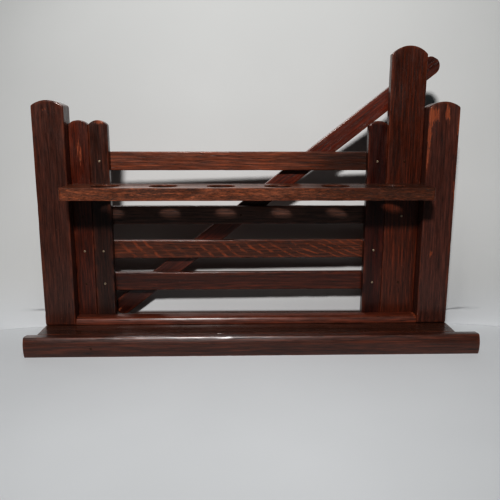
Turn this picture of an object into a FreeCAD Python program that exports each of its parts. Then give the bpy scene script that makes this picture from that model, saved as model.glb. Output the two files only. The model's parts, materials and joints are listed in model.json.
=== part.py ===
import FreeCAD, Part
import os

# A desk rack for six tobacco pipes, built like a small field gate on a base.
# Millimetres. Origin: middle of the base's underside. +X right, +Y back, +Z up.

Vec = FreeCAD.Vector

# ---------------------------------------------------------------- driving sizes
OVERALL_LENGTH = 305.0          # nosing, end to end
OVERALL_DEPTH = 63.5            # nosing front to the back of the base
BASE_THICKNESS = 13.0
NOSING_DEPTH = 9.5
NOSING_BULGE = 1.6              # how far the rounded front stands out past its bottom edge
NOSING_TOP_ROUND = 1.4
NOSING_END_ROUND = 1.2

GATE_OFFSET = -3.5              # the gate and posts stand left of the nosing's middle
GATE_WIDTH = 242.8              # clear width between the posts
POST_WIDTH = 21.2
POST_DEPTH = 15.5
POST_TOP = 167.4
POST_RISE = 3.6                 # how far the arched top rises above its shoulders
POST_FRONT = 28.9               # behind the nosing's front

SLAT_THICKNESS = 6.1
LEFT_SLAT_WIDTH = 13.2
RIGHT_SLAT_WIDTH = 13.6
SLAT_TOP = 154.8
SLAT_RISE = 3.1
TALL_BOARD_WIDTH = 24.2
TALL_BOARD_TOP = 204.2
TALL_BOARD_RISE = 5.5

RAIL_THICKNESS = 5.0
RAIL_HEIGHT = 12.9
RAIL_CENTRES = {"top_rail": 127.3, "shelf_rail": 89.1, "middle_rail": 64.4, "bottom_rail": 40.7}

BRACE_WIDTH = 12.7
BRACE_THICKNESS = 5.0
BRACE_FOOT = (-91.4, 21.0)      # centre of the rounded lower end: X from the gate's middle, Z
BRACE_HEAD = (127.3, 192.4)     # centre of the rounded upper end

SHELF_THICKNESS = 8.2
SHELF_TOP = 112.0
SHELF_FRONT = 5.6               # behind the nosing's front
SHELF_CORNER = 2.4
HOLE_COUNT = 6
HOLE_RADIUS = 9.5
HOLE_PITCH = 38.1
HOLE_CENTRE = 19.8              # behind the nosing's front
HOLE_SHIFT = 1.0                # right of the gate's middle

STRIP_HEIGHT = 5.2
STRIP_LEAN = 0.6
STRIP_SHOULDER = 2.4            # height where the strip's front turns over
STRIP_BEND = (0.9, 1.6)         # middle of the turn: behind the shoulder, below the top
STRIP_OVER = (2.6, 0.9)         # end of the turn, measured the same way

EDGE_ROUND = 0.5                # softened edges of the sawn pieces
POST_EDGE_ROUND = 0.9

PIN_RADIUS = 0.6
PIN_HEAD_RADIUS = 1.0
PIN_HEAD_HEIGHT = 0.7
PIN_SHORTFALL = 1.0             # a pin through two pieces stops short of the second one's back
SHELF_PIN_LENGTH = 14.0
SHELF_PIN_STAGGER = 1.6         # pins from behind enter the shelf above those from the sides
ROW_PIN_COUNT = 4               # pins in the nosing, and in the strip
NOSING_PIN_PITCH = 72.0
NOSING_PIN_LENGTH = 22.0
STRIP_PIN_PITCH = 60.0
STRIP_PIN_LENGTH = 13.0
STRIP_PIN_SINK = 0.65           # heads below the strip's top
SIDE_PIN_REACH = 8.0            # past the post's inner side
SIDE_PIN_SETBACK = 3.0          # of the pin into the shelf, behind the post's face
SIDE_PIN_HEIGHTS = (52.5, 98.0, 140.0)      # of the pins into the gate
UPRIGHT_PIN_LENGTH = 25.0
SCREW_RADIUS = 1.4
SCREW_HEAD_RADIUS = 2.8
SCREW_HEAD_HEIGHT = 1.6
SCREW_LENGTH = 25.0
SCREW_SLOT_WIDTH = 0.8
SCREW_SLOT_REACH = 4.0          # either way from the screw's middle, past its head
SCREW_SPREAD = 5.0              # either side of the post's middle
TOUCHING = 1e-6                 # closer than this counts as on the same plane

# ------------------------------------------------------------- places from them
FRONT = -OVERALL_DEPTH / 2
BACK = OVERALL_DEPTH / 2
BASE_FRONT = FRONT + NOSING_DEPTH
GATE_LEFT = GATE_OFFSET - GATE_WIDTH / 2
GATE_RIGHT = GATE_OFFSET + GATE_WIDTH / 2
POST_LEFT_CENTRE = GATE_LEFT - POST_WIDTH / 2
POST_RIGHT_CENTRE = GATE_RIGHT + POST_WIDTH / 2
POST_FACE = FRONT + POST_FRONT
POST_BACK = POST_FACE + POST_DEPTH
RAIL_FACE = POST_BACK
SLAT_FACE = RAIL_FACE - SLAT_THICKNESS
BRACE_FACE = RAIL_FACE + RAIL_THICKNESS
SHELF_FACE = FRONT + SHELF_FRONT
SHELF_MIDDLE = SHELF_TOP - SHELF_THICKNESS / 2

TALL_BOARD_LEFT = GATE_RIGHT - TALL_BOARD_WIDTH
UPRIGHTS = {
    "left_outer_slat": (GATE_LEFT, LEFT_SLAT_WIDTH, SLAT_TOP, SLAT_RISE),
    "left_inner_slat": (GATE_LEFT + LEFT_SLAT_WIDTH, LEFT_SLAT_WIDTH, SLAT_TOP, SLAT_RISE),
    "right_slat": (TALL_BOARD_LEFT - RIGHT_SLAT_WIDTH, RIGHT_SLAT_WIDTH, SLAT_TOP, SLAT_RISE),
    "tall_board": (TALL_BOARD_LEFT, TALL_BOARD_WIDTH, TALL_BOARD_TOP, TALL_BOARD_RISE),
}


# ------------------------------------------------------------------ shape tools
def spaced(count, pitch):
    """Offsets of evenly spaced places about a middle."""
    return [(number - (count - 1) / 2) * pitch for number in range(count)]


def block(x_low, x_high, y_low, y_high, z_low, z_high):
    return Part.makeBox(
        x_high - x_low, y_high - y_low, z_high - z_low, Vec(x_low, y_low, z_low)
    )


def solid_from(edges, sweep):
    """Close the edges into a face and sweep it along a vector."""
    return Part.Face(Part.Wire(edges)).extrude(sweep)


def line(start, end):
    return Part.LineSegment(start, end).toShape()


def arc(start, middle, end):
    return Part.Arc(start, middle, end).toShape()


def soften(shape, radius, wanted):
    """Round every edge whose middle satisfies the test."""
    edges = []
    for edge in shape.Edges:
        middle = edge.valueAt((edge.FirstParameter + edge.LastParameter) / 2)
        if wanted(middle):
            edges.append(edge)
    return shape.makeFillet(radius, edges)


def arched_upright(left, width, front, depth, foot, top, rise, round_radius):
    """A board on end with a bowed top; the outline of its front face is softened."""
    right = left + width
    shoulder = top - rise
    middle = left + width / 2
    outline = [
        line(Vec(left, front, foot), Vec(right, front, foot)),
        line(Vec(right, front, foot), Vec(right, front, shoulder)),
        arc(Vec(right, front, shoulder), Vec(middle, front, top), Vec(left, front, shoulder)),
        line(Vec(left, front, shoulder), Vec(left, front, foot)),
    ]
    board = solid_from(outline, Vec(0, depth, 0))

    def front_outline(point):
        return abs(point.y - front) < TOUCHING and point.z > foot + TOUCHING

    return soften(board, round_radius, front_outline)


def pin(head_centre, direction, length):
    """A panel pin: its head's face is at head_centre and its shank runs along direction."""
    head = Part.makeCylinder(PIN_HEAD_RADIUS, PIN_HEAD_HEIGHT, head_centre, direction)
    shank = Part.makeCylinder(PIN_RADIUS, length, head_centre, direction)
    return head.fuse(shank).removeSplitter()


def wood_screw(x, y):
    """A slotted countersunk screw driven up from the base's underside."""
    head = Part.makeCone(SCREW_HEAD_RADIUS, SCREW_RADIUS, SCREW_HEAD_HEIGHT, Vec(x, y, 0))
    tip_height = 2 * SCREW_RADIUS
    shank = Part.makeCylinder(SCREW_RADIUS, SCREW_LENGTH - tip_height, Vec(x, y, 0))
    tip = Part.makeCone(SCREW_RADIUS, 0, tip_height, Vec(x, y, SCREW_LENGTH - tip_height))
    return head.fuse([shank, tip]).removeSplitter()


def slotted(screw, x, y):
    """The same screw with its slot cut; seats are cut with the plain one."""
    half = SCREW_SLOT_WIDTH / 2
    slot = block(x - SCREW_SLOT_REACH, x + SCREW_SLOT_REACH, y - half, y + half, -1, SCREW_SLOT_WIDTH)
    return screw.cut(slot)


def brace_place(height):
    """X of the brace's centre line at a height."""
    slope = (BRACE_HEAD[0] - BRACE_FOOT[0]) / (BRACE_HEAD[1] - BRACE_FOOT[1])
    return GATE_OFFSET + BRACE_FOOT[0] + slope * (height - BRACE_FOOT[1])


# ------------------------------------------------------------------- fasteners
def slat_pin_places():
    """Every upright is pinned to every rail through its middle."""
    return [
        Vec(left + width / 2, SLAT_FACE, height)
        for left, width, _, _ in UPRIGHTS.values()
        for height in RAIL_CENTRES.values()
    ]


def slat_pins():
    length = SLAT_THICKNESS + RAIL_THICKNESS - PIN_SHORTFALL
    return [pin(place, Vec(0, 1, 0), length) for place in slat_pin_places()]


def brace_pins():
    length = RAIL_THICKNESS + BRACE_THICKNESS - PIN_SHORTFALL
    places = [Vec(brace_place(height), RAIL_FACE, height) for height in RAIL_CENTRES.values()]
    return [pin(place, Vec(0, 1, 0), length) for place in places]


def shelf_pins():
    """From behind each upright into the shelf's back edge."""
    places = [
        Vec(left + width / 2, RAIL_FACE, SHELF_MIDDLE + SHELF_PIN_STAGGER)
        for left, width, _, _ in UPRIGHTS.values()
    ]
    return [pin(place, Vec(0, -1, 0), SHELF_PIN_LENGTH) for place in places]


def nosing_pins():
    places = [Vec(x, FRONT, BASE_THICKNESS / 2) for x in spaced(ROW_PIN_COUNT, NOSING_PIN_PITCH)]
    return [pin(place, Vec(0, 1, 0), NOSING_PIN_LENGTH) for place in places]


def strip_pins():
    middle = (POST_FACE + SLAT_FACE) / 2
    top = BASE_THICKNESS + STRIP_HEIGHT - STRIP_PIN_SINK
    places = [Vec(GATE_OFFSET + x, middle, top) for x in spaced(ROW_PIN_COUNT, STRIP_PIN_PITCH)]
    return [pin(place, Vec(0, 0, -1), STRIP_PIN_LENGTH) for place in places]


def post_side_pins():
    """Through each post's outer side: one into the shelf's end, three into the gate's edge."""
    pins = []
    gate_y = SLAT_FACE + SLAT_THICKNESS / 2
    places = [(gate_y, height) for height in SIDE_PIN_HEIGHTS]
    places.append((POST_FACE + SIDE_PIN_SETBACK, SHELF_MIDDLE - SHELF_PIN_STAGGER))
    for outer, inward in ((GATE_LEFT - POST_WIDTH, 1), (GATE_RIGHT + POST_WIDTH, -1)):
        for y, z in places:
            pins.append(pin(Vec(outer, y, z), Vec(inward, 0, 0), POST_WIDTH + SIDE_PIN_REACH))
    return pins


def upright_pins():
    """Up through the base into the foot of each upright."""
    y = SLAT_FACE + SLAT_THICKNESS / 2
    places = [Vec(left + width / 2, y, 0) for left, width, _, _ in UPRIGHTS.values()]
    return [pin(place, Vec(0, 0, 1), UPRIGHT_PIN_LENGTH) for place in places]


def post_screw_places():
    """Two screws up into the foot of each post: X and Y of each."""
    return [
        (centre + side * SCREW_SPREAD, POST_FACE + POST_DEPTH / 2)
        for centre in (POST_LEFT_CENTRE, POST_RIGHT_CENTRE)
        for side in (-1, 1)
    ]


FASTENERS = {
    "slat_pins": slat_pins(),
    "brace_pins": brace_pins(),
    "shelf_pins": shelf_pins(),
    "nosing_pins": nosing_pins(),
    "strip_pins": strip_pins(),
    "post_side_pins": post_side_pins(),
    "upright_pins": upright_pins(),
    "post_screws": [wood_screw(x, y) for x, y in post_screw_places()],
}
ALL_FASTENERS = [solid for group in FASTENERS.values() for solid in group]


def bored(shape):
    """Cut the seat of every fastener that reaches into the piece."""
    box = shape.BoundBox
    near = [solid for solid in ALL_FASTENERS if solid.BoundBox.intersect(box)]
    return shape.cut(near).removeSplitter() if near else shape


# ----------------------------------------------------------------- wooden parts
def base_board():
    left = GATE_LEFT - POST_WIDTH
    right = GATE_RIGHT + POST_WIDTH
    board = block(left, right, BASE_FRONT, BACK, 0, BASE_THICKNESS)

    def behind_nosing(point):
        return point.y > BASE_FRONT + 0.1 and point.z > BASE_THICKNESS - 0.1

    return soften(board, EDGE_ROUND, behind_nosing)


def nosing():
    """A long bead with a bowed front and a rounded top corner."""
    left = -OVERALL_LENGTH / 2
    edge_y = FRONT + NOSING_BULGE
    outline = [
        line(Vec(left, BASE_FRONT, 0), Vec(left, edge_y, 0)),
        arc(
            Vec(left, edge_y, 0),
            Vec(left, FRONT, BASE_THICKNESS / 2),
            Vec(left, edge_y, BASE_THICKNESS),
        ),
        line(Vec(left, edge_y, BASE_THICKNESS), Vec(left, BASE_FRONT, BASE_THICKNESS)),
        line(Vec(left, BASE_FRONT, BASE_THICKNESS), Vec(left, BASE_FRONT, 0)),
    ]
    bead = solid_from(outline, Vec(OVERALL_LENGTH, 0, 0))

    def top_front(point):
        return point.z > BASE_THICKNESS - TOUCHING and point.y < BASE_FRONT - 1

    def end_outline(point):
        at_end = abs(abs(point.x) - OVERALL_LENGTH / 2) < TOUCHING
        return at_end and point.z > 0.1 and point.y < BASE_FRONT - 0.1

    bead = soften(bead, NOSING_TOP_ROUND, top_front)
    return soften(bead, NOSING_END_ROUND, end_outline)


def bowl_rest_strip():
    """A low moulding between the posts: it leans back, turns over and meets the uprights."""
    left = GATE_LEFT
    foot = BASE_THICKNESS
    top = foot + STRIP_HEIGHT
    front = POST_FACE + STRIP_LEAN
    shoulder = Vec(left, front, foot + STRIP_SHOULDER)
    bend = Vec(left, front + STRIP_BEND[0], top - STRIP_BEND[1])
    over = Vec(left, front + STRIP_OVER[0], top - STRIP_OVER[1])
    outline = [
        line(Vec(left, SLAT_FACE, foot), Vec(left, POST_FACE, foot)),
        line(Vec(left, POST_FACE, foot), shoulder),
        arc(shoulder, bend, over),
        line(over, Vec(left, SLAT_FACE, top)),
        line(Vec(left, SLAT_FACE, top), Vec(left, SLAT_FACE, foot)),
    ]
    return solid_from(outline, Vec(GATE_WIDTH, 0, 0))


def post(centre):
    left = centre - POST_WIDTH / 2
    return arched_upright(
        left, POST_WIDTH, POST_FACE, POST_DEPTH, BASE_THICKNESS, POST_TOP, POST_RISE, POST_EDGE_ROUND
    )


def upright(name):
    left, width, top, rise = UPRIGHTS[name]
    return arched_upright(
        left, width, SLAT_FACE, SLAT_THICKNESS, BASE_THICKNESS, top, rise, EDGE_ROUND
    )


def pipe_shelf():
    """Housed between the posts and standing out in front of them, with a row of holes."""
    board = block(
        GATE_LEFT, GATE_RIGHT, SHELF_FACE, SLAT_FACE, SHELF_TOP - SHELF_THICKNESS, SHELF_TOP
    )

    def front_corner(point):
        at_side = abs(abs(point.x - GATE_OFFSET) - GATE_WIDTH / 2) < TOUCHING
        return at_side and abs(point.y - SHELF_FACE) < TOUCHING

    def front_edge(point):
        return abs(point.y - SHELF_FACE) < TOUCHING and abs(point.x - GATE_OFFSET) < 1

    board = soften(board, SHELF_CORNER, front_corner)
    board = soften(board, EDGE_ROUND, front_edge)
    holes = []
    for offset in spaced(HOLE_COUNT, HOLE_PITCH):
        foot = Vec(GATE_OFFSET + HOLE_SHIFT + offset, FRONT + HOLE_CENTRE, SHELF_TOP - SHELF_THICKNESS - 1)
        holes.append(Part.makeCylinder(HOLE_RADIUS, SHELF_THICKNESS + 2, foot))
    return board.cut(holes)


def rail(name):
    centre = RAIL_CENTRES[name]
    low = centre - RAIL_HEIGHT / 2
    bar = block(GATE_LEFT, GATE_RIGHT, RAIL_FACE, BRACE_FACE, low, low + RAIL_HEIGHT)

    def long_front_edge(point):
        return abs(point.y - RAIL_FACE) < TOUCHING and abs(point.z - centre) > 1

    return soften(bar, EDGE_ROUND, long_front_edge)


def brace():
    """A round-ended bar across the backs of the rails, from low left to high right."""
    foot = Vec(GATE_OFFSET + BRACE_FOOT[0], BRACE_FACE, BRACE_FOOT[1])
    head = Vec(GATE_OFFSET + BRACE_HEAD[0], BRACE_FACE, BRACE_HEAD[1])
    along = (head - foot).normalize()
    across = Vec(-along.z, 0, along.x) * (BRACE_WIDTH / 2)
    beyond = along * (BRACE_WIDTH / 2)
    outline = [
        line(foot - across, head - across),
        arc(head - across, head + beyond, head + across),
        line(head + across, foot + across),
        arc(foot + across, foot - beyond, foot - across),
    ]
    bar = solid_from(outline, Vec(0, BRACE_THICKNESS, 0))
    return soften(bar, EDGE_ROUND, lambda point: abs(point.y - BRACE_FACE) < TOUCHING)


# -------------------------------------------------------------------- write out
def all_parts():
    parts = {
        "base_board": bored(base_board()),
        "nosing": bored(nosing()),
        "bowl_rest_strip": bored(bowl_rest_strip()),
        "left_post": bored(post(POST_LEFT_CENTRE)),
        "right_post": bored(post(POST_RIGHT_CENTRE)),
        "pipe_shelf": bored(pipe_shelf()),
        "brace": bored(brace()),
    }
    for name in UPRIGHTS:
        parts[name] = bored(upright(name))
    for name in RAIL_CENTRES:
        parts[name] = bored(rail(name))
    for name, solids in FASTENERS.items():
        parts[name] = Part.makeCompound(solids)
    slotted_screws = [slotted(wood_screw(x, y), x, y) for x, y in post_screw_places()]
    parts["post_screws"] = Part.makeCompound(slotted_screws)
    return parts


os.makedirs("parts", exist_ok=True)
for node, shape in all_parts().items():
    shape.exportStep(os.path.join("parts", node + ".step"))
    box = shape.BoundBox
    spans = (box.XMin, box.XMax, box.YMin, box.YMax, box.ZMin, box.ZMax)
    extent = " ".join(f"{value:7.1f}" for value in spans)
    print(f"{node:18s} solids {len(shape.Solids):2d} valid {shape.isValid()} {extent}")
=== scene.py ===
import bmesh
import bpy
import json
import math
from mathutils import Matrix, Vector, noise
from mathutils.kdtree import KDTree


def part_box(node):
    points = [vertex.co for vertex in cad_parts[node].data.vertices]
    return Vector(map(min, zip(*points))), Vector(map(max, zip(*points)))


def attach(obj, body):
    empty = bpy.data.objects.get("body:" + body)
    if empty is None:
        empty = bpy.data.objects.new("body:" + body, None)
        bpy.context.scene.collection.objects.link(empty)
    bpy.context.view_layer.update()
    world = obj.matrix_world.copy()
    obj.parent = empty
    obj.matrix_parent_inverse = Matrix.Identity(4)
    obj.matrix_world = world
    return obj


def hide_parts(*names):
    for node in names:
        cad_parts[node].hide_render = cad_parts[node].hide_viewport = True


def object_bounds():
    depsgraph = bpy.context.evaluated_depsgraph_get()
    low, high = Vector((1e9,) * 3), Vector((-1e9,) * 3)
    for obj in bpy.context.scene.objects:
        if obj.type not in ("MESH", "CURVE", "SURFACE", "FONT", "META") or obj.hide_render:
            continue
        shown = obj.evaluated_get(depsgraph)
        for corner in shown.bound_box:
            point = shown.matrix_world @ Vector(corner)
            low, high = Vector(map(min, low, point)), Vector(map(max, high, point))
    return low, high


# A dark stained oak pipe rack in the shape of a field gate. Metres, in the frame of the CAD model.

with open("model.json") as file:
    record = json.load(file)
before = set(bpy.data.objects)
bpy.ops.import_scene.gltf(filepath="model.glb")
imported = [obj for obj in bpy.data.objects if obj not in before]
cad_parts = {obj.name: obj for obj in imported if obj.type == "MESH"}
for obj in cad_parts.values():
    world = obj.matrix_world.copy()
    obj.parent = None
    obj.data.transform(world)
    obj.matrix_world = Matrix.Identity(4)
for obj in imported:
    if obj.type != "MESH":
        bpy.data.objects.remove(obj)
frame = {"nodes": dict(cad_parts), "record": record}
cad_low, cad_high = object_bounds()
MOUNTS = frame["record"]["mounts"]
MM = 0.001

# ------------------------------------------------------------------ sizes of the detail
POST_RISE = 3.6 * MM            # how far each arched top rises above its shoulders
SLAT_RISE = 3.1 * MM
TALL_RISE = 5.5 * MM
POST_ROUND = 0.9 * MM           # softened edges
BOARD_ROUND = 0.5 * MM
NOSING_BULGE = 1.6 * MM
NOSING_ROUND = 2.4 * MM
NOSING_CROWN = 0.8 * MM         # its top swells this far above its back edge
GRID = 3.0 * MM                 # spacing of the slices that carry the hand-finished unevenness
WAVINESS = 0.10 * MM
WAVE_SCALE = 0.045              # of the slow waves, per millimetre
DENTS = 0.22 * MM
DENT_SCALE = 0.19
DENT_FLOOR = 0.22               # noise below this leaves no dent
DENT_GAIN = 2.2
EDGE_REACH = 1.3 * MM           # how far edge wear reaches in from an edge
TURNED_ANGLE = 12               # degrees between faces that count as meeting at an edge
BRACE_WIDTH = 12.7 * MM
SHELF_CORNER = 2.4 * MM
ARCH_STEPS = 26
HOLE_STEPS = 72


# ------------------------------------------------------------------------ mesh building
def prism(points, low, high, along):
    """A solid from an outline: points are (x, z) pairs swept along Y, or (y, z) pairs along X."""
    bm = bmesh.new()
    if along == "y":
        corners = [bm.verts.new((x, low, z)) for x, z in points]
        sweep = Vector((0, high - low, 0))
    else:
        corners = [bm.verts.new((low, y, z)) for y, z in points]
        sweep = Vector((high - low, 0, 0))
    face = bm.faces.new(corners)
    moved = bmesh.ops.extrude_face_region(bm, geom=[face])["geom"]
    bmesh.ops.translate(bm, vec=sweep, verts=[g for g in moved if isinstance(g, bmesh.types.BMVert)])
    bmesh.ops.recalc_face_normals(bm, faces=bm.faces)
    return bm


def arc_points(centre, radius, start, end, steps):
    """Points round an arc, both ends included; angles in degrees."""
    points = []
    for step in range(steps + 1):
        angle = math.radians(start + (end - start) * step / steps)
        points.append((centre[0] + radius * math.cos(angle), centre[1] + radius * math.sin(angle)))
    return points


def arched_outline(low, high, rise):
    """A board on end whose top is a shallow arc between square shoulders."""
    half = (high.x - low.x) / 2
    middle = (high.x + low.x) / 2
    radius = (half * half + rise * rise) / (2 * rise)
    reach = math.degrees(math.asin(half / radius))
    top = arc_points((middle, high.z - radius), radius, 90 - reach, 90 + reach, ARCH_STEPS)
    return [(low.x, low.z), (high.x, low.z)] + top


def round_edges(bm, radius, angle=25, segments=3, wanted=None):
    """Bevel every edge sharper than the angle, or only those whose middle passes the test."""
    edges = []
    for edge in bm.edges:
        if len(edge.link_faces) != 2 or edge.calc_face_angle() < math.radians(angle):
            continue
        middle = (edge.verts[0].co + edge.verts[1].co) / 2
        if wanted is None or wanted(middle):
            edges.append(edge)
    bmesh.ops.bevel(
        bm, geom=edges, offset=radius, offset_type="OFFSET", segments=segments, profile=0.5,
        affect="EDGES", clamp_overlap=True,
    )


def span(bm, axis):
    values = [vert.co[axis] for vert in bm.verts]
    return min(values), max(values)


def cut_at(bm, axis, place):
    normal = Vector((0, 0, 0))
    normal[axis] = 1
    centre = Vector((0, 0, 0))
    centre[axis] = place
    geometry = bm.verts[:] + bm.edges[:] + bm.faces[:]
    bmesh.ops.bisect_plane(bm, geom=geometry, dist=1e-7, plane_co=centre, plane_no=normal)


def slice_up(bm, spacing):
    """Cut the solid on an even grid, with one more cut close inside each face, unless it is thin that way."""
    for axis in range(3):
        low, high = span(bm, axis)
        places = [low + EDGE_REACH, high - EDGE_REACH]
        count = int((high - low) / spacing)
        places += [low + (high - low) * step / count for step in range(1, count)]
        if high - low > 2.5 * EDGE_REACH:
            for place in places:
                cut_at(bm, axis, place)


def mark_edges(bm):
    """Store on every vertex how near it is to a turned edge: 1 on the edge, 0 away from it."""
    layer = bm.verts.layers.float.new("edge")
    turned = []
    for vert in bm.verts:
        normals = [face.normal for face in vert.link_faces if face.calc_area() > 1e-12]
        widest = 0.0
        for first in normals:
            for second in normals:
                widest = max(widest, 1 - first.dot(second))
        if widest > 1 - math.cos(math.radians(TURNED_ANGLE)):
            turned.append(vert.co.copy())
    tree = KDTree(max(1, len(turned)))
    for index, place in enumerate(turned):
        tree.insert(place, index)
    tree.balance()
    for vert in bm.verts:
        distance = tree.find(vert.co)[2] if turned else 1.0
        vert[layer] = max(0.0, 1 - distance / EDGE_REACH)
    return layer


def uneven(bm, layer, seed, dents):
    """Hand finishing and wear: slow waves and dented edges, kept inside the box of the CAD model."""
    shift = Vector((seed * 3.7, seed * 1.3, seed * 7.1))
    bm.normal_update()
    moves = []
    for vert in bm.verts:
        place = vert.co / MM
        wave = noise.noise(place * WAVE_SCALE + shift)
        knock = max(0.0, noise.noise(place * DENT_SCALE + shift * 2) - DENT_FLOOR)
        moves.append(vert.normal * (wave * WAVINESS - knock * dents * DENT_GAIN * vert[layer]))
    for vert, move in zip(bm.verts, moves):
        moved = vert.co + move
        vert.co = [min(cad_high[axis], max(cad_low[axis], moved[axis])) for axis in range(3)]


def paint_bare(bm, patches):
    """Where the finish has gone: each patch is a centre, its reach along X, Y and Z, and a strength."""
    layer = bm.verts.layers.float.new("bare")
    for vert in bm.verts:
        most = 0.0
        for centre, reach, strength in patches:
            away = Vector([(vert.co[axis] - centre[axis]) / reach[axis] for axis in range(3)])
            most = max(most, strength * max(0.0, 1 - away.length))
        vert[layer] = most


def paint_shade(bm, darkness):
    """How much painted shade darkens each vertex, 0 to 1, from a function of its place."""
    layer = bm.verts.layers.float.new("shade")
    for vert in bm.verts:
        vert[layer] = darkness(vert.co)


def ramp_up(value, low, high):
    """0 up to low, 1 from high on, and a smooth rise between them."""
    part = min(1.0, max(0.0, (value - low) / (high - low)))
    return part * part * (3 - 2 * part)


def finish_piece(bm, name, node, material, smooth=True):
    mesh = bpy.data.meshes.new(name)
    bm.to_mesh(mesh)
    bm.free()
    mesh.materials.append(material)
    piece = bpy.data.objects.new(name, mesh)
    bpy.context.collection.objects.link(piece)
    if smooth:
        mesh.shade_smooth()
        weighted = piece.modifiers.new("weighted", "WEIGHTED_NORMAL")
        weighted.keep_sharp = True
        weighted.weight = 80
    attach(piece, "root")
    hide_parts(node)
    return piece


def evenly(place):
    """No painted shade: no darker in one place than in another."""
    return 0.0


def wooden(bm, node, material, seed, patches=(), spacing=GRID, dents=DENTS, darkness=evenly, place=None):
    """Slice, set in place, weather and paint a bare solid, then make it the piece for its CAD node."""
    slice_up(bm, spacing)
    if place is not None:
        bm.transform(place)
    paint_shade(bm, darkness)
    layer = mark_edges(bm)
    uneven(bm, layer, seed, dents)
    paint_bare(bm, patches)
    return finish_piece(bm, node + "_wood", node, material)


# --------------------------------------------------------------------------- materials
class Nodes:
    """Short calls for building one node tree."""

    def __init__(self, name):
        self.material = bpy.data.materials.new(name)
        self.material.use_nodes = True
        self.tree = self.material.node_tree
        self.shader = self.tree.nodes["Principled BSDF"]

    def add(self, kind, **settings):
        node = self.tree.nodes.new(kind)
        for key, value in settings.items():
            setattr(node, key, value)
        return node

    def link(self, source, target):
        self.tree.links.new(source, target)

    def math(self, operation, first, second=None, clamp=False):
        node = self.add("ShaderNodeMath", operation=operation, use_clamp=clamp)
        for socket, value in zip(node.inputs, (first, second)):
            if value is None:
                continue
            if isinstance(value, (int, float)):
                socket.default_value = value
            else:
                self.link(value, socket)
        return node.outputs[0]

    def stretched(self, vector, scale):
        node = self.add("ShaderNodeVectorMath", operation="MULTIPLY")
        self.link(vector, node.inputs[0])
        node.inputs[1].default_value = scale
        return node.outputs[0]

    def noise(self, vector, scale, detail=4, roughness=0.55, distortion=0.0):
        node = self.add("ShaderNodeTexNoise")
        self.link(self.stretched(vector, scale), node.inputs["Vector"])
        node.inputs["Scale"].default_value = 1.0
        node.inputs["Detail"].default_value = detail
        node.inputs["Roughness"].default_value = roughness
        node.inputs["Distortion"].default_value = distortion
        return node.outputs["Fac"]

    def ramp(self, value, low, high, out_low=0.0, out_high=1.0):
        node = self.add("ShaderNodeMapRange", interpolation_type="SMOOTHSTEP", clamp=True)
        self.link(value, node.inputs["Value"])
        node.inputs["From Min"].default_value = low
        node.inputs["From Max"].default_value = high
        node.inputs["To Min"].default_value = out_low
        node.inputs["To Max"].default_value = out_high
        return node.outputs["Result"]

    def mix(self, factor, first, second, blend="MIX"):
        node = self.add("ShaderNodeMix", data_type="RGBA", blend_type=blend)
        for socket, value in ((node.inputs[0], factor), (node.inputs[6], first), (node.inputs[7], second)):
            if isinstance(value, (int, float)):
                socket.default_value = value
            elif isinstance(value, tuple):
                socket.default_value = (*value, 1)
            else:
                self.link(value, socket)
        return node.outputs[2]

    def attribute(self, name):
        return self.add("ShaderNodeAttribute", attribute_name=name).outputs["Fac"]


RAW_OAK = (0.30, 0.085, 0.030)
# near black of the pores, also the dark that painted shade mixes towards
PORE_AND_SHADE_DARK = (0.006, 0.003, 0.0025)
EDGE_OAK = (0.16, 0.040, 0.016)
EDGE_AMOUNT = 0.6
BARE_OAK = (0.17, 0.035, 0.012)
SPECK = (0.26, 0.17, 0.12)
TARNISH = (0.05, 0.022, 0.012)
WOOD_BUMP = 0.22 * MM
METAL_BUMP = 0.08 * MM
PER_MM = (1000, 1000, 1000)     # metres to millimetres


def grain_space(nodes, turn, seed):
    """Millimetres with X along the grain."""
    place = nodes.add("ShaderNodeTexCoord").outputs["Object"]
    mapping = nodes.add("ShaderNodeMapping", vector_type="POINT")
    nodes.link(place, mapping.inputs["Vector"])
    mapping.inputs["Scale"].default_value = PER_MM
    mapping.inputs["Rotation"].default_value = turn
    mapping.inputs["Location"].default_value = (seed * 431.0, seed * 57.0, seed * 83.0)
    return mapping.outputs["Vector"]


def growth_rings(nodes, grain, pith, spacing):
    """Bands at equal distances from a pith line beside the board, pushed about by slow noise."""
    split = nodes.add("ShaderNodeSeparateXYZ")
    nodes.link(grain, split.inputs[0])
    across = nodes.math("ADD", split.outputs["Y"], pith[0])
    up = nodes.math("ADD", split.outputs["Z"], pith[1])
    squared = nodes.math("ADD", nodes.math("MULTIPLY", across, across), nodes.math("MULTIPLY", up, up))
    distance = nodes.math("SQRT", squared)
    wander = nodes.math("MULTIPLY", nodes.noise(grain, (0.011, 0.06, 0.06), 3, 0.5), 16.0)
    turns = nodes.math("MULTIPLY", nodes.math("ADD", distance, wander), 2 * math.pi / spacing)
    return nodes.math("ADD", nodes.math("MULTIPLY", nodes.math("SINE", turns), 0.5), 0.5)


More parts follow.
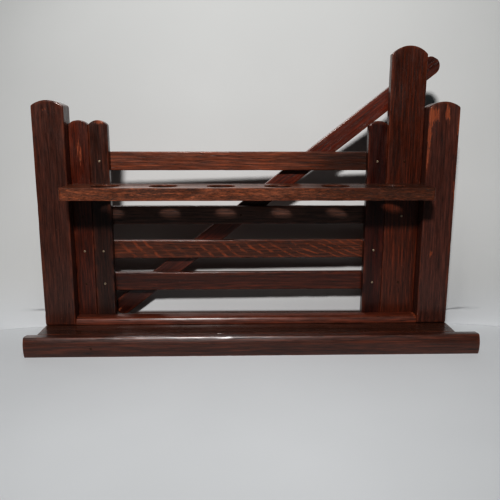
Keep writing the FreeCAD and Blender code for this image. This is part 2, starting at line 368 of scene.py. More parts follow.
def ray_figure(nodes, centre, lean, lean_change, spacing):
    """The pale slanting flecks of quarter-sawn oak, which lie flatter towards the right."""
    place = nodes.add("ShaderNodeTexCoord").outputs["Object"]
    shifted = nodes.add("ShaderNodeVectorMath", operation="SUBTRACT")
    nodes.link(place, shifted.inputs[0])
    shifted.inputs[1].default_value = centre
    local = nodes.stretched(shifted.outputs[0], PER_MM)
    split = nodes.add("ShaderNodeSeparateXYZ")
    nodes.link(local, split.inputs[0])
    slope = nodes.math("ADD", nodes.math("MULTIPLY", split.outputs["X"], lean_change), lean)
    slant = nodes.math("ADD", split.outputs["X"], nodes.math("MULTIPLY", split.outputs["Z"], slope))
    wander = nodes.math("MULTIPLY", nodes.noise(local, (0.040, 0.09, 0.09), 4, 0.55), 11.0)
    turns = nodes.math("MULTIPLY", nodes.math("ADD", slant, wander), 2 * math.pi / spacing)
    line = nodes.ramp(nodes.math("SINE", turns), 0.30, 0.98)
    broken = nodes.ramp(nodes.noise(local, (0.14, 0.24, 0.24), 5, 0.7), 0.40, 0.60)
    fading = nodes.ramp(nodes.noise(local, (0.016, 0.03, 0.03), 1, 0.4), 0.34, 0.50)
    return nodes.math("MULTIPLY", nodes.math("MULTIPLY", line, broken), fading)


def oak(name, tone, turn, seed, pith=(46, 60), spacing=2.6, rays=None, roughness=0.36, contrast=0.7,
        streaks=0.6, fibre_run=0.035, coat=0.45, coat_roughness=0.16):
    """Stained, varnished oak: rings, fibres, pores, ray flecks, rubbed edges, bare patches and painted shade.
    """
    nodes = Nodes(name)
    dark = tuple((1 - 0.55 * streaks) * part for part in tone)
    light = (1.9 * tone[0], 1.8 * tone[1], 1.7 * tone[2])
    grain = grain_space(nodes, turn, seed)
    figure = nodes.ramp(nodes.noise(grain, (0.009, 0.13, 0.13), 3, 0.5, 0.4), 0.36, 0.64)
    rings = growth_rings(nodes, grain, pith, spacing)
    fibre = nodes.noise(grain, (fibre_run, 1.15, 1.15), 9, 0.80)
    fine = nodes.noise(grain, (3 * fibre_run, 3.6, 3.6), 3, 0.6)
    pores = nodes.math("MULTIPLY", nodes.ramp(fine, 0.55, 0.64), nodes.ramp(rings, 0.2, 0.7))

    colour = nodes.mix(figure, dark, tone)
    early_wood = nodes.ramp(rings, 0.9, 0.1, 0.15, 0.35 + 0.5 * streaks)
    bright = nodes.math("MULTIPLY", nodes.ramp(fibre, 0.40, 0.70), early_wood)
    colour = nodes.mix(bright, colour, light)
    shade = nodes.ramp(fibre, 0.32, 0.68, 1 - 0.62 * contrast, 1 + 0.62 * contrast)
    grey = nodes.add("ShaderNodeCombineColor")
    for socket in grey.inputs:
        nodes.link(shade, socket)
    colour = nodes.mix(1.0, colour, grey.outputs[0], "MULTIPLY")
    colour = nodes.mix(nodes.math("MULTIPLY", pores, 0.8), colour, PORE_AND_SHADE_DARK)
    # painted shade: the shade attribute darkens the colour towards near black
    colour = nodes.mix(nodes.attribute("shade"), colour, PORE_AND_SHADE_DARK)
    if rays:
        centre, lean, lean_change, ray_spacing, ray_tone, amount = rays
        flecks = ray_figure(nodes, centre, lean, lean_change, ray_spacing)
        colour = nodes.mix(nodes.math("MULTIPLY", flecks, amount), colour, ray_tone)

    rub = nodes.ramp(nodes.noise(grain, (0.09, 0.30, 0.30), 5, 0.65), 0.40, 0.62)
    rubbed = nodes.math("MULTIPLY", nodes.math("MULTIPLY", nodes.attribute("edge"), rub), EDGE_AMOUNT)
    colour = nodes.mix(rubbed, colour, EDGE_OAK)
    ragged = nodes.math("MULTIPLY", nodes.noise(grain, (0.13, 1.2, 1.2), 6, 0.75), 1.9)
    hold = nodes.math("SUBTRACT", ragged, 0.58)
    bare = nodes.ramp(nodes.math("SUBTRACT", nodes.attribute("bare"), hold), 0.0, 0.12)
    bare_tone = nodes.mix(nodes.ramp(fibre, 0.35, 0.65), BARE_OAK, RAW_OAK)
    colour = nodes.mix(bare, colour, bare_tone)
    speck = nodes.ramp(nodes.noise(grain, (0.9, 0.9, 0.9), 1, 0.4), 0.795, 0.83)
    colour = nodes.mix(nodes.math("MULTIPLY", speck, 0.5), colour, SPECK)

    cloudy = nodes.noise(grain, (0.05, 0.22, 0.22), 4, 0.6)
    rough = nodes.ramp(cloudy, 0.3, 0.7, roughness - 0.07, roughness + 0.09)
    rough = nodes.math("ADD", rough, nodes.math("MULTIPLY", pores, 0.12))
    rough = nodes.math("ADD", rough, nodes.math("MULTIPLY", bare, 0.22), clamp=True)

    height = nodes.math("MULTIPLY", fibre, 0.35)
    height = nodes.math("SUBTRACT", height, nodes.math("MULTIPLY", pores, 0.5))
    height = nodes.math("SUBTRACT", height, nodes.math("MULTIPLY", bare, 0.6))
    swell = nodes.noise(grain, (0.10, 0.25, 0.25), 2)
    height = nodes.math("ADD", height, nodes.math("MULTIPLY", swell, 1.6))
    bump = nodes.add("ShaderNodeBump")
    bump.inputs["Strength"].default_value = 0.55
    bump.inputs["Distance"].default_value = WOOD_BUMP
    nodes.link(height, bump.inputs["Height"])

    shader = nodes.shader
    nodes.link(colour, shader.inputs["Base Color"])
    nodes.link(rough, shader.inputs["Roughness"])
    nodes.link(bump.outputs["Normal"], shader.inputs["Normal"])
    shader.inputs["Specular IOR Level"].default_value = 0.42
    shader.inputs["Coat Weight"].default_value = coat
    shader.inputs["Coat Roughness"].default_value = coat_roughness
    shader.inputs["Coat IOR"].default_value = 1.48
    return nodes.material


def metal(name, tone, roughness, tarnish):
    """Pin and screw steel with brown tarnish in patches."""
    nodes = Nodes(name)
    place = nodes.stretched(nodes.add("ShaderNodeTexCoord").outputs["Object"], PER_MM)
    cloud = nodes.ramp(nodes.noise(place, (1.1, 1.1, 1.1), 4, 0.6), 0.40, 0.62)
    colour = nodes.mix(nodes.math("MULTIPLY", cloud, tarnish), tone, TARNISH)
    nodes.link(colour, nodes.shader.inputs["Base Color"])
    nodes.link(nodes.ramp(cloud, 0, 1, roughness, roughness + 0.25), nodes.shader.inputs["Roughness"])
    nodes.shader.inputs["Metallic"].default_value = 1.0
    bump = nodes.add("ShaderNodeBump")
    bump.inputs["Strength"].default_value = 0.4
    bump.inputs["Distance"].default_value = METAL_BUMP
    nodes.link(nodes.noise(place, (4, 4, 4), 3), bump.inputs["Height"])
    nodes.link(bump.outputs["Normal"], nodes.shader.inputs["Normal"])
    return nodes.material


UPRIGHT_GRAIN = (0.02, math.pi / 2 + 0.012, 0.0)


# ------------------------------------------------------------------------------ pieces
def make_posts():
    low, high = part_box("left_post")
    bm = prism(arched_outline(low, high, POST_RISE), low.y, high.y, "y")
    round_edges(bm, POST_ROUND)
    near_top = Vector((low.x + 0.42 * (high.x - low.x), low.y, high.z - 6 * MM))
    pale_spot = (near_top, (2.4 * MM, 3 * MM, 2.2 * MM), 0.5)
    material = oak("left_post_oak", (0.0659, 0.0223, 0.0143), UPRIGHT_GRAIN, 1.2, streaks=0.25)
    wooden(bm, "left_post", material, 1, [pale_spot])

    low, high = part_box("right_post")
    bm = prism(arched_outline(low, high, POST_RISE), low.y, high.y, "y")
    round_edges(bm, POST_ROUND)
    top = high.z
    across = high.x - low.x

    def spot(part_across, below_top, wide, tall, strength):
        """A flaked place on the front; sizes in millimetres."""
        centre = Vector((low.x + part_across * across, low.y, top - below_top * MM))
        return (centre, (wide * MM, 1.6 * MM, tall * MM), strength)

    patches = [
        spot(0.10, 10, 4.2, 12, 1.0),
        spot(0.04, 22, 2.8, 16, 0.95),
        spot(0.03, 36, 1.8, 14, 0.85),
        spot(0.26, 8, 2.6, 9, 0.85),
        spot(0.55, 7, 2.2, 8, 0.85),
        spot(0.70, 10, 1.8, 10, 0.80),
        spot(0.97, 14, 2.0, 16, 0.80),
        spot(0.36, 103, 1.7, 6.5, 0.95),
        spot(0.97, 60, 1.6, 30, 0.5),
    ]
    material = oak("right_post_oak", (0.0747, 0.0256, 0.0174), UPRIGHT_GRAIN, 2.7, streaks=0.35)
    wooden(bm, "right_post", material, 2, patches, spacing=2.2 * MM)


def painted_shade_by_shelf(amount, below):
    """Painted shade: darker by this amount either below the shelf, in its shadow, or above it."""
    shelf_low, shelf_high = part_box("pipe_shelf")

    def darkness(place):
        above = ramp_up(place.z, shelf_low.z - 4 * MM, shelf_high.z)
        return amount * (1 - above if below else above)

    return darkness


def make_uprights():
    # the third entry of each look is its painted shade above or below the shelf, or none
    looks = {
        "left_outer_slat": ((0.0800, 0.0150, 0.0053), SLAT_RISE, painted_shade_by_shelf(0.22, below=True)),
        "left_inner_slat": ((0.0560, 0.0175, 0.0100), SLAT_RISE, painted_shade_by_shelf(0.45, below=True)),
        "right_slat": ((0.0385, 0.0062, 0.0027), SLAT_RISE, evenly),
        "tall_board": ((0.0840, 0.0190, 0.0074), TALL_RISE, painted_shade_by_shelf(0.24, below=False)),
    }
    # worn places: right of the middle, below the top, reach along X, Y and Z, strength
    worn = {
        "left_outer_slat": (0.0, 21 * MM, (5 * MM, 2 * MM, 17 * MM), 0.52),
        "left_inner_slat": (1.5 * MM, 1 * MM, (5 * MM, 5 * MM, 2.6 * MM), 0.9),
    }
    for number, (node, (tone, rise, darkness)) in enumerate(looks.items()):
        low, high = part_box(node)
        bm = prism(arched_outline(low, high, rise), low.y, high.y, "y")
        round_edges(bm, BOARD_ROUND)
        middle = (low.x + high.x) / 2
        patches = []
        if node in worn:
            right, below, reach, strength = worn[node]
            patches.append((Vector((middle + right, low.y, high.z - below)), reach, strength))
        pith = (30 + 9 * number, 44 - 6 * number)
        material = oak(node + "_oak", tone, UPRIGHT_GRAIN, 3.1 + 1.7 * number, pith, 2.2)
        wooden(bm, node, material, 3 + number, patches, darkness=darkness)


def painted_shade_to_right(place):
    """Painted shade: darker towards the right, where the light falls off along the top rail and the shelf."""
    return 0.75 * ramp_up(place.x, 0, 75 * MM)


def make_rails():
    rail_low, rail_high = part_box("middle_rail")
    quarter_sawn = ((rail_low + rail_high) / 2, 1.55, 0.010, 9.2, (0.25, 0.060, 0.019), 0.8)
    looks = {
        "top_rail": ((0.1753, 0.0562, 0.0283), None),
        "shelf_rail": ((0.098, 0.046, 0.032), None),
        "middle_rail": ((0.0888, 0.0274, 0.0134), quarter_sawn),
        "bottom_rail": ((0.0628, 0.0149, 0.0071), None),
    }
    for number, (node, (tone, rays)) in enumerate(looks.items()):
        low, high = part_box(node)
        bm = prism([(low.y, low.z), (high.y, low.z), (high.y, high.z), (low.y, high.z)], low.x, high.x, "x")
        round_edges(bm, BOARD_ROUND)
        material = oak(
            node + "_oak", tone, (0.0, 0.006 * (number - 1), 0.01), 11.3 + 2.3 * number,
            (38 + 5 * number, 30), 2.4, rays,
        )
        # painted shade towards the right on the top rail
        wooden(bm, node, material, 11 + number, darkness=painted_shade_to_right if node == "top_rail" else evenly)


def make_brace():
    low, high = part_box("brace")
    radius = BRACE_WIDTH / 2
    foot = Vector((low.x + radius, 0, low.z + radius))
    head = Vector((high.x - radius, 0, high.z - radius))
    along = head - foot
    slope = math.atan2(along.z, along.x)
    outline = arc_points((along.length, 0), radius, -90, 90, 16) + arc_points((0, 0), radius, 90, 270, 16)
    bm = prism(outline, low.y, high.y, "y")
    round_edges(bm, BOARD_ROUND, angle=40)
    in_place = Matrix.Translation(foot) @ Matrix.Rotation(-slope, 4, "Y")
    material = oak("brace_oak", (0.105, 0.0215, 0.0105), (0, slope, 0), 21.4, (52, 28), 2.3)
    toe = (Vector((low.x + 2 * MM, low.y, low.z + 4 * MM)), (4 * MM, 2 * MM, 3.5 * MM), 0.8)

    def painted_shade(place):
        """Painted shade: darker towards both ends."""
        return max(0.55 * ramp_up(-place.x, 25 * MM, 80 * MM), 0.45 * ramp_up(place.x, 108 * MM, 120 * MM))

    wooden(bm, "brace", material, 21, [toe], darkness=painted_shade, place=in_place)


def make_base():
    low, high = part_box("base_board")
    bm = prism([(low.y, low.z), (high.y, low.z), (high.y, high.z), (low.y, high.z)], low.x, high.x, "x")
    round_edges(bm, BOARD_ROUND)
    material = oak(
        "base_oak", (0.0585, 0.0216, 0.0119), (0.01, 0.0, 0.012), 31.7, (70, 52), 3.2, roughness=0.28,
        coat=0.6, coat_roughness=0.10,
    )
    wooden(bm, "base_board", material, 31)


def make_nosing():
    """The front is bowed, and its top corner is rounded over generously."""
    low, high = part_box("nosing")
    middle = (low.z + high.z) / 2
    half = (high.z - low.z) / 2

    def front_at(z):
        return low.y + NOSING_BULGE * ((z - middle) / half) ** 2

    crest = high.z + NOSING_CROWN
    top_of_bow = crest - 0.4 * MM
    outline = [(high.y, high.z), (high.y, low.z)]
    for step in range(17):
        z = low.z + (top_of_bow - low.z) * step / 16
        outline.append((front_at(z), z))
    start = Vector(outline[-1])
    corner = Vector((front_at(crest), crest))
    end = corner + Vector((NOSING_ROUND, 0))
    for step in range(1, 9):
        part = step / 8
        point = start * (1 - part) ** 2 + corner * 2 * part * (1 - part) + end * part * part
        outline.append(tuple(point))
    bm = prism(outline, low.x, high.x, "x")
    round_edges(bm, 1.0 * MM, angle=40)
    material = oak(
        "nosing_oak", (0.0687, 0.0198, 0.0102), (0.0, 0.004, 0.006), 36.2, (24, 31), 3.4, roughness=0.46,
        coat=0.75, coat_roughness=0.26,
    )
    chips = [
        (Vector((low.x + 29.0 * MM, low.y + 1 * MM, low.z + 10.5 * MM)), (1.3 * MM, 3 * MM, 1.6 * MM), 1.2),
        (Vector((low.x + 14.5 * MM, low.y, low.z + 8.5 * MM)), (0.9 * MM, 3 * MM, 3.0 * MM), 0.9),
        (Vector((0.0, low.y + 1.4 * MM, low.z)), (150 * MM, 3 * MM, 1.6 * MM), 0.45),
    ]
    wooden(bm, "nosing", material, 36, chips)


def make_strip():
    low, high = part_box("bowl_rest_strip")
    tall = high.z - low.z
    shoulder = (low.y + 0.3 * MM, low.z + 0.34 * tall)
    bevel = [(low.y + 0.7 * MM, low.z + 0.58 * tall), (low.y + 1.45 * MM, low.z + 0.83 * tall)]
    over = (low.y + 2.8 * MM, high.z - 0.2 * MM)
    outline = [(high.y, low.z), (low.y, low.z), shoulder] + bevel + [over, (high.y, high.z)]
    bm = prism(outline, low.x, high.x, "x")
    round_edges(bm, 0.45 * MM, angle=40)
    material = oak(
        "strip_oak", (0.112, 0.0240, 0.0082), (0, 0.003, 0), 41.9, (33, 45), 2.8, roughness=0.60,
        coat=0.35, coat_roughness=0.25,
    )
    end = (Vector((high.x, low.y + 5 * MM, high.z)), (3.0 * MM, 9 * MM, 5 * MM), 1.0)
    wooden(bm, "bowl_rest_strip", material, 41, [end])


def make_shelf():
    """Each hole is a ring of quads inside its own cell of the board; plain cells fill the ends."""
    low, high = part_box("pipe_shelf")
    bores = [mount for mount in MOUNTS if mount["kind"] == "bore"]
    holes = sorted((bore["pos_m"][0], bore["pos_m"][1], bore["dims"]["r_mm"] * MM) for bore in bores)
    pitch = holes[1][0] - holes[0][0]
    bm = bmesh.new()
    quarter = HOLE_STEPS // 4

    def cell_border(left, right):
        """Points round a cell, as many on each side, starting at the front left corner."""
        corners = [(left, low.y), (right, low.y), (right, high.y), (left, high.y)]
        border = []
        for index in range(4):
            start, end = corners[index], corners[(index + 1) % 4]
            for step in range(quarter):
                part = step / quarter
                x = start[0] + (end[0] - start[0]) * part
                y = start[1] + (end[1] - start[1]) * part
                border.append((x, y))
        return border

    def ring(points, z):
        return [bm.verts.new((x, y, z)) for x, y in points]

    def bridge(first, second):
        count = len(first)
        for index in range(count):
            following = (index + 1) % count
            bm.faces.new((first[index], first[following], second[following], second[index]))

    for x, y, radius in holes:
        circle = arc_points((x, y), radius, -135, 225, HOLE_STEPS)[:-1]
        border = cell_border(x - pitch / 2, x + pitch / 2)
        upper_hole, upper_border = ring(circle, high.z), ring(border, high.z)
        lower_hole, lower_border = ring(circle, low.z), ring(border, low.z)
        bridge(upper_hole, upper_border)
        bridge(lower_border, lower_hole)
        bridge(lower_hole, upper_hole)
    left_edge, right_edge = holes[0][0] - pitch / 2, holes[-1][0] + pitch / 2
    for start, end in ((low.x, left_edge), (right_edge, high.x)):
        for z in (low.z, high.z):
            for step in range(quarter):
                near = low.y + (high.y - low.y) * step / quarter
                far = low.y + (high.y - low.y) * (step + 1) / quarter
                corners = [(start, near), (end, near), (end, far), (start, far)]
                bm.faces.new([bm.verts.new((x, y, z)) for x, y in corners])
    bmesh.ops.remove_doubles(bm, verts=bm.verts, dist=1e-6)
    rim = [edge for edge in bm.edges if len(edge.link_faces) == 1]
    upper = [edge for edge in rim if edge.verts[0].co.z > (low.z + high.z) / 2]
    lower = [edge for edge in rim if edge not in upper]
    bmesh.ops.bridge_loops(bm, edges=upper + lower)
    bmesh.ops.recalc_face_normals(bm, faces=bm.faces)

    def front_corner(middle):
        upright = abs(middle.z - (low.z + high.z) / 2) < 1e-4
        return upright and middle.y < low.y + 1e-5 and min(middle.x - low.x, high.x - middle.x) < 1e-5

    round_edges(bm, SHELF_CORNER, angle=60, segments=6, wanted=front_corner)
    round_edges(bm, 0.55 * MM, angle=40)
    material = oak(
        "shelf_oak", (0.1551, 0.0525, 0.0245), (0, 0.004, 0.004), 51.3, (20, 26), 2.5, roughness=0.42,
        contrast=1.0, streaks=0.8, fibre_run=0.22, coat=0.2,
    )

    def painted_shade(place):
        """Painted shade: dark inside the holes, and darker towards the right where the light falls off."""
        nearest = min(math.hypot(place.x - x, place.y - y) - radius for x, y, radius in holes)
        between_rims = low.z + 0.3 * MM < place.z < high.z - 0.3 * MM
        # painted shade inside the bores
        inside = 0.96 if nearest < 0.1 * MM and between_rims else 0.0
        return max(inside, 0.75 * painted_shade_to_right(place))

    wooden(bm, "pipe_shelf", material, 51, dents=0.12 * MM, darkness=painted_shade)


# ---------------------------------------------------------------------------- fasteners
THREAD_CREST = 1.4 * MM
THREAD_ROOT = 1.05 * MM
THREAD_PITCH = 1.1 * MM
SLOT_SIZE = (7 * MM, 0.8 * MM, 1.6 * MM)


def islands(node):
    """The low and high corner of each separate solid in a CAD node."""
    bm = bmesh.new()
    bm.from_mesh(frame["nodes"][node].data)
    bmesh.ops.remove_doubles(bm, verts=bm.verts, dist=1e-7)
    seen = set()
    boxes = []
    for start in bm.verts:
        if start in seen:
            continue
        stack, group = [start], []
        seen.add(start)
        while stack:
            vert = stack.pop()
            group.append(vert.co)
            for edge in vert.link_edges:
                other = edge.other_vert(vert)
                if other not in seen:
                    seen.add(other)
                    stack.append(other)
        low = Vector([min(co[axis] for co in group) for axis in range(3)])
        high = Vector([max(co[axis] for co in group) for axis in range(3)])
        boxes.append((low, high))
    bm.free()
    return boxes


def lathe(bm, profile, axis_matrix, steps=28, material_index=0):
    """Turn (radius, height) pairs round local Z; the first and last lie on the axis."""
    rings = []
    for radius, height in profile:
        if radius < 1e-9:
            rings.append([bm.verts.new(axis_matrix @ Vector((0, 0, height)))])
            continue
        ring = []
        for step in range(steps):
            angle = 2 * math.pi * step / steps
            place = Vector((radius * math.cos(angle), radius * math.sin(angle), height))
            ring.append(bm.verts.new(axis_matrix @ place))
        rings.append(ring)
    for first, second in zip(rings, rings[1:]):
        for step in range(steps):
            following = (step + 1) % steps
            corners = [first[step % len(first)], first[following % len(first)],
                       second[following % len(second)], second[step % len(second)]]
            unique = list(dict.fromkeys(corners))
            if len(unique) > 2:
                face = bm.faces.new(unique)
                face.material_index = material_index


def pin_profile(length, proud):
    """A slightly dished panel-pin head on its shank, point last."""
    head = 0.80 * MM
    shank = 0.5 * MM
    return [
        (0, proud - 0.06 * MM), (0.30 * MM, proud - 0.04 * MM), (0.52 * MM, proud),
        (0.72 * MM, proud - 0.03 * MM), (head, proud - 0.12 * MM), (head, -0.45 * MM),
        (shank, -0.8 * MM), (shank, -length + 1.2 * MM), (0, -length),
    ]


def make_pins(node, outward, bright, dull, dull_picks, proud=0.08 * MM):
    """All the pins of one group; outward is the way their heads face."""
    bm = bmesh.new()
    for number, (low, high) in enumerate(islands(node)):
        centre = (low + high) / 2
        axis = max(range(3), key=lambda index: (high - low)[index])
        facing = outward(centre)
        sign = 1 if facing[axis] > 0 else -1
        centre[axis] = high[axis] if sign > 0 else low[axis]
        turn = Vector((0, 0, 1)).rotation_difference(facing).to_matrix().to_4x4()
        matrix = Matrix.Translation(centre) @ turn
        picked = number in dull_picks
        lathe(bm, pin_profile((high - low)[axis], 0.25 * proud if picked else proud), matrix,
              material_index=1 if picked else 0)
    bmesh.ops.recalc_face_normals(bm, faces=bm.faces)
    piece = finish_piece(bm, node + "_steel", node, bright)
    piece.data.materials.append(dull)
    return piece


def make_screws(bright):
    """Slotted countersunk screws: a turned blank with grooves for its thread, and its slot cut."""
    bm = bmesh.new()
    for low, high in islands("post_screws"):
        centre = (low + high) / 2
        matrix = Matrix.Translation((centre.x, centre.y, low.z))
        length = high.z - low.z
        profile = [(0, 0), (2.6 * MM, 0), (2.78 * MM, 0.12 * MM)]
        profile += [(THREAD_CREST, 1.6 * MM), (1.35 * MM, 8 * MM)]
        height = 8.4 * MM
        while height < length - 3 * MM:
            profile += [(THREAD_CREST, height), (THREAD_ROOT, height + 0.55 * MM)]
            height += THREAD_PITCH
        profile += [(0.9 * MM, length - 2.4 * MM), (0, length)]
        lathe(bm, profile, matrix, steps=32)
    bmesh.ops.recalc_face_normals(bm, faces=bm.faces)
    piece = finish_piece(bm, "post_screws_steel", "post_screws", bright, smooth=False)
    cutter_mesh = bmesh.new()
    for low, high in islands("post_screws"):
        centre = (low + high) / 2
        slot = Matrix.Translation((centre.x, centre.y, low.z)) @ Matrix.Diagonal((*SLOT_SIZE, 1))
        bmesh.ops.create_cube(cutter_mesh, size=1.0, matrix=slot)
    mesh = bpy.data.meshes.new("slot_cutter")
    cutter_mesh.to_mesh(mesh)
    cutter_mesh.free()
    cutter = bpy.data.objects.new("slot_cutter", mesh)
    bpy.context.collection.objects.link(cutter)
    cut = piece.modifiers.new("slots", "BOOLEAN")
    cut.operation = "DIFFERENCE"
    cut.object = cutter
    cut.solver = "EXACT"
    settled = bpy.data.meshes.new_from_object(piece.evaluated_get(bpy.context.evaluated_depsgraph_get()))
    piece.modifiers.clear()
    piece.data = settled
    bpy.data.objects.remove(cutter)
    for polygon in piece.data.polygons:
        polygon.use_smooth = True
    piece.data.set_sharp_from_angle(angle=math.radians(35))
    return piece


def make_fasteners():
    """The numbers in braces pick the pins of each group that have gone dull."""
    bright = metal("pin_steel", (0.62, 0.52, 0.38), 0.32, 0.5)
    dull = metal("pin_tarnished", (0.10, 0.06, 0.04), 0.5, 0.9)
    make_pins("slat_pins", lambda place: Vector((0, -1, 0)), bright, dull, {0, 1, 3, 5, 9, 12, 14, 15})
    make_pins("brace_pins", lambda place: Vector((0, -1, 0)), bright, dull, {0, 1, 2, 3})
    make_pins("nosing_pins", lambda place: Vector((0, -1, 0)), dull, dull, set(), proud=0.0)
    make_pins("shelf_pins", lambda place: Vector((0, 1, 0)), bright, dull, {1})
    make_pins("strip_pins", lambda place: Vector((0, 0, 1)), dull, dull, set())
    make_pins("upright_pins", lambda place: Vector((0, 0, -1)), bright, dull, {0, 2}, proud=0.0)
    low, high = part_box("base_board")
    middle = (low.x + high.x) / 2

    def away_from_gate(place):
        return Vector((1 if place.x > middle else -1, 0, 0))

    make_pins("post_side_pins", away_from_gate, bright, dull, {1, 4, 6})
    make_screws(metal("screw_steel", (0.50, 0.46, 0.40), 0.35, 0.6))


# ------------------------------------------------------------------- floor, light, camera
CLOTH_STAND = 0.3 * MM          # gap between the cloth and the back of the base
CLOTH_TURN = 45 * MM            # radius where it leaves the floor beside the rack
CLOTH_LEAN = 19.0               # how far back it leans above the rack
CLOTH_TWIST = 0.08              # it stands further back on the left, more so higher up
CLOTH_HEIGHT = 0.9
FLOOR_REACH = 1.1
CLOTH_HALF = 1.1
CLOTH_STEPS = 24
CLOTH_FOOT = 0.2 * MM           # where it starts, just above the floor
CLOTH_FOOT_RISE = 13.2 * MM     # and how far it climbs the back of the base
CLOTH_FOOT_STEPS = 8
CLOTH_LEDGE = (6.8 * MM, 13.5 * MM)         # it lies on the base: this far in, at this height
CLOTH_PULLS = ((1 * MM, 25 * MM), (1.5 * MM, 55 * MM))      # shape its bend: behind the ledge, height
CLOTH_TOP = (19 * MM, 110 * MM)             # end of the bend: behind the base, height
CLOTH_PAST_BASE = (142 * MM, 166 * MM)      # either side of the middle, where it leaves the ledge
CLOTH_FREE = (150 * MM, 300 * MM)           # and where it spreads out to its full turn
COLUMN = 0.01
COLUMNS_EACH_WAY = 60

# each lamp: place, target, radius, watts, cone in degrees
LAMPS = {
    "lamp": ((-0.090, -0.62, 0.53), (0.0, 0.0, 0.15), 0.042, 17.8, 67),
    "back_lamp": ((-0.30, 1.0, 1.00), (0.0, 0.3, 0.05), 0.20, 22.0, 150),
    "floor_lamp": ((0.0, -0.6, 1.4), (0.0, -0.6, 0.0), 0.4, 12.0, 160),
    "left_lamp": ((-0.85, 0.05, 0.26), (-0.1, 0.0, 0.09), 0.12, 0.8, 45),
    "right_lamp": ((0.85, 0.05, 0.26), (0.1, 0.0, 0.09), 0.12, 0.8, 45),
}
ROOM_LIGHT = (0.55, 1.0, 1.1, 1)
ROOM_STRENGTH = 0.022
ROOM_GREY = (0.60, 0.60, 0.60, 1)           # what the camera sees past the stage

CAMERA_PLACE = (-0.01376, -0.39374, 0.14632)
CAMERA_LENS = 41.35
CAMERA_SENSOR = 36.0
CAMERA_YAW = 1.736              # degrees
CAMERA_PITCH = 11.488
CAMERA_ROLL = 0.13


def pale_cloth(name):
    """Pale weave, with painted shade where it climbs from the floor and painted light higher up."""
    nodes = Nodes(name)
    place = nodes.stretched(nodes.add("ShaderNodeTexCoord").outputs["Object"], PER_MM)
    cloud = nodes.noise(place, (0.006, 0.006, 0.006), 3, 0.5)
    split = nodes.add("ShaderNodeSeparateXYZ")
    nodes.link(place, split.inputs[0])
    # painted shade: a little darker where the cloth climbs than on the floor
    tone = nodes.mix(nodes.ramp(split.outputs["Z"], -10, 45), (0.65, 0.655, 0.665), (0.615, 0.61, 0.60))
    # painted light: lighter higher up the cloth
    tone = nodes.mix(nodes.ramp(split.outputs["Z"], 120, 420), tone, (0.76, 0.755, 0.74))
    patchy = nodes.mix(nodes.ramp(cloud, 0.3, 0.7), (0.95, 0.95, 0.95), (1.0, 1.0, 1.0))
    nodes.link(nodes.mix(1.0, tone, patchy, "MULTIPLY"), nodes.shader.inputs["Base Color"])
    nodes.shader.inputs["Roughness"].default_value = 0.9
    nodes.shader.inputs["Specular IOR Level"].default_value = 0.1
    return nodes


def one_sided(nodes):
    """Its back, and the shadow it would cast, are left out, so the rack can be seen and lit from behind."""
    clear = nodes.add("ShaderNodeBsdfTransparent")
    pick = nodes.add("ShaderNodeMixShader")
    behind = nodes.add("ShaderNodeNewGeometry").outputs["Backfacing"]
    shadow = nodes.add("ShaderNodeLightPath").outputs["Is Shadow Ray"]
    nodes.link(nodes.math("MAXIMUM", behind, shadow), pick.inputs[0])
    nodes.link(nodes.shader.outputs[0], pick.inputs[1])
    nodes.link(clear.outputs[0], pick.inputs[2])
    output = nodes.tree.nodes["Material Output"]
    nodes.link(pick.outputs[0], output.inputs["Surface"])


def cubic(corners, part):
    """The point a part of the way along a Bezier curve with four corners."""
    left = 1 - part
    weights = (left ** 3, 3 * left * left * part, 3 * left * part * part, part ** 3)
    shares = [Vector(corner) * weight for corner, weight in zip(corners, weights)]
    return sum(shares, Vector((0, 0))).to_tuple()


def staged(name, bm, material):
    mesh = bpy.data.meshes.new(name)
    bm.to_mesh(mesh)
    bm.free()
    mesh.shade_smooth()
    mesh.materials.append(material)
    thing = bpy.data.objects.new(name, mesh)
    bpy.context.collection.objects.link(thing)
    return thing


def make_floor(name, near, far, material):
    bm = bmesh.new()
    left, right = -FLOOR_REACH, FLOOR_REACH
    corners = [(left, near, 0), (right, near, 0), (right, far, 0), (left, far, 0)]
    bm.faces.new([bm.verts.new(corner) for corner in corners])
    return staged(name, bm, material)


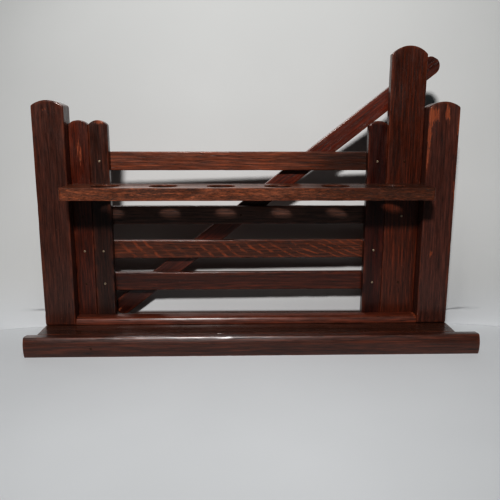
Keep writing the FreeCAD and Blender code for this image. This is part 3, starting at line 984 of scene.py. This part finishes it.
def make_backdrop(wall):
    """A cloth that lies on the back ledge of the base, rises behind the rack and leans back."""
    cloth = pale_cloth("backdrop_cloth")
    one_sided(cloth)
    top = (wall + CLOTH_TOP[0], CLOTH_TOP[1])
    ledge = (wall - CLOTH_LEDGE[0], CLOTH_LEDGE[1])
    rise = [ledge] + [(ledge[0] + back, height) for back, height in CLOTH_PULLS] + [top]
    foot_steps = range(CLOTH_FOOT_STEPS + 1)
    profile = [(wall, CLOTH_FOOT + CLOTH_FOOT_RISE * step / CLOTH_FOOT_STEPS) for step in foot_steps]
    profile += [cubic(rise, step / CLOTH_STEPS) for step in range(CLOTH_STEPS + 1)]
    high = (top[0] + CLOTH_HEIGHT * math.tan(math.radians(CLOTH_LEAN)), top[1] + CLOTH_HEIGHT)
    near_columns = [COLUMN * step for step in range(-COLUMNS_EACH_WAY, COLUMNS_EACH_WAY + 1)]
    across = [-CLOTH_HALF] + near_columns + [CLOTH_HALF]
    bm = bmesh.new()
    columns = []
    for x in across:
        past_base = ramp_up(abs(x), *CLOTH_PAST_BASE)
        free = ramp_up(abs(x), *CLOTH_FREE)
        column = []
        for tucked, z in profile + [high]:
            short = max(0.0, CLOTH_TURN - z)
            upright = wall + (top[0] - wall) * (z / top[1]) ** 2 if z < top[1] else tucked
            straight = tucked + (upright - tucked) * past_base
            loose = upright - CLOTH_TURN + math.sqrt(CLOTH_TURN ** 2 - short ** 2)
            y = straight + (loose - straight) * free
            column.append(bm.verts.new((x, y - x * CLOTH_TWIST * min(1.0, z / top[1]), z)))
        columns.append(column)
    for left, right in zip(columns, columns[1:]):
        for row in range(len(left) - 1):
            bm.faces.new((left[row], right[row], right[row + 1], left[row + 1]))
    staged("backdrop", bm, cloth.material)


def make_stage():
    """A floor in two halves, before and behind the cloth, so each can have its own light."""
    wall = cad_high.y + CLOTH_STAND
    cloth = pale_cloth("floor_cloth").material
    floor = make_floor("floor", -FLOOR_REACH, wall, cloth)
    rear_floor = make_floor("rear_floor", wall, FLOOR_REACH, cloth)
    make_backdrop(wall)
    return floor, rear_floor


def lamp(name, place, target, radius, power, cone):
    data = bpy.data.lights.new(name, "SPOT")
    data.shadow_soft_size = radius
    data.energy = power
    data.spot_size = math.radians(cone)
    data.spot_blend = 1.0
    light = bpy.data.objects.new(name, data)
    light.location = place
    light.rotation_mode = "QUATERNION"
    light.rotation_quaternion = (Vector(target) - Vector(place)).to_track_quat("-Z", "Y")
    bpy.context.collection.objects.link(light)
    return light


def light_only(light, things):
    """Keep a lamp's light off everything but these things."""
    group = bpy.data.collections.new(light.name + "_reach")
    for thing in things:
        group.objects.link(thing)
    light.light_linking.receiver_collection = group


def make_light(pieces, floor, rear_floor):
    world = bpy.data.worlds.new("studio")
    bpy.context.scene.world = world
    world.use_nodes = True
    tree = world.node_tree
    background = tree.nodes["Background"]
    background.inputs["Color"].default_value = ROOM_LIGHT
    background.inputs["Strength"].default_value = ROOM_STRENGTH
    backdrop_tone = tree.nodes.new("ShaderNodeBackground")
    backdrop_tone.inputs["Color"].default_value = ROOM_GREY
    pick = tree.nodes.new("ShaderNodeMixShader")
    tree.links.new(tree.nodes.new("ShaderNodeLightPath").outputs["Is Camera Ray"], pick.inputs[0])
    tree.links.new(background.outputs[0], pick.inputs[1])
    tree.links.new(backdrop_tone.outputs[0], pick.inputs[2])
    tree.links.new(pick.outputs[0], tree.nodes["World Output"].inputs["Surface"])
    limited_to = {
        "back_lamp": pieces + [rear_floor],
        "floor_lamp": [floor],
        "left_lamp": pieces,
        "right_lamp": pieces,
    }
    for name, settings in LAMPS.items():
        light = lamp(name, *settings)
        if name in limited_to:
            light_only(light, limited_to[name])


def make_camera():
    data = bpy.data.cameras.new("camera")
    data.sensor_width = CAMERA_SENSOR
    data.lens = CAMERA_LENS
    data.clip_start = 0.01
    data.clip_end = 20.0
    camera = bpy.data.objects.new("camera", data)
    yaw = Matrix.Rotation(-math.radians(CAMERA_YAW), 4, "Z")
    face_back = Matrix.Rotation(math.pi / 2, 4, "X")
    pitch = Matrix.Rotation(-math.radians(CAMERA_PITCH), 4, "X")
    roll = Matrix.Rotation(math.radians(CAMERA_ROLL), 4, "Z")
    camera.matrix_world = Matrix.Translation(CAMERA_PLACE) @ yaw @ face_back @ pitch @ roll
    bpy.context.collection.objects.link(camera)
    bpy.context.scene.camera = camera


make_posts()
make_uprights()
make_rails()
make_brace()
make_base()
make_nosing()
make_strip()
make_shelf()
make_fasteners()
rack = [thing for thing in bpy.context.collection.objects if thing.type == "MESH"]
make_light(rack, *make_stage())
make_camera()
bpy.context.scene.view_settings.view_transform = "Standard"
bpy.context.scene.view_settings.look = "High Contrast"
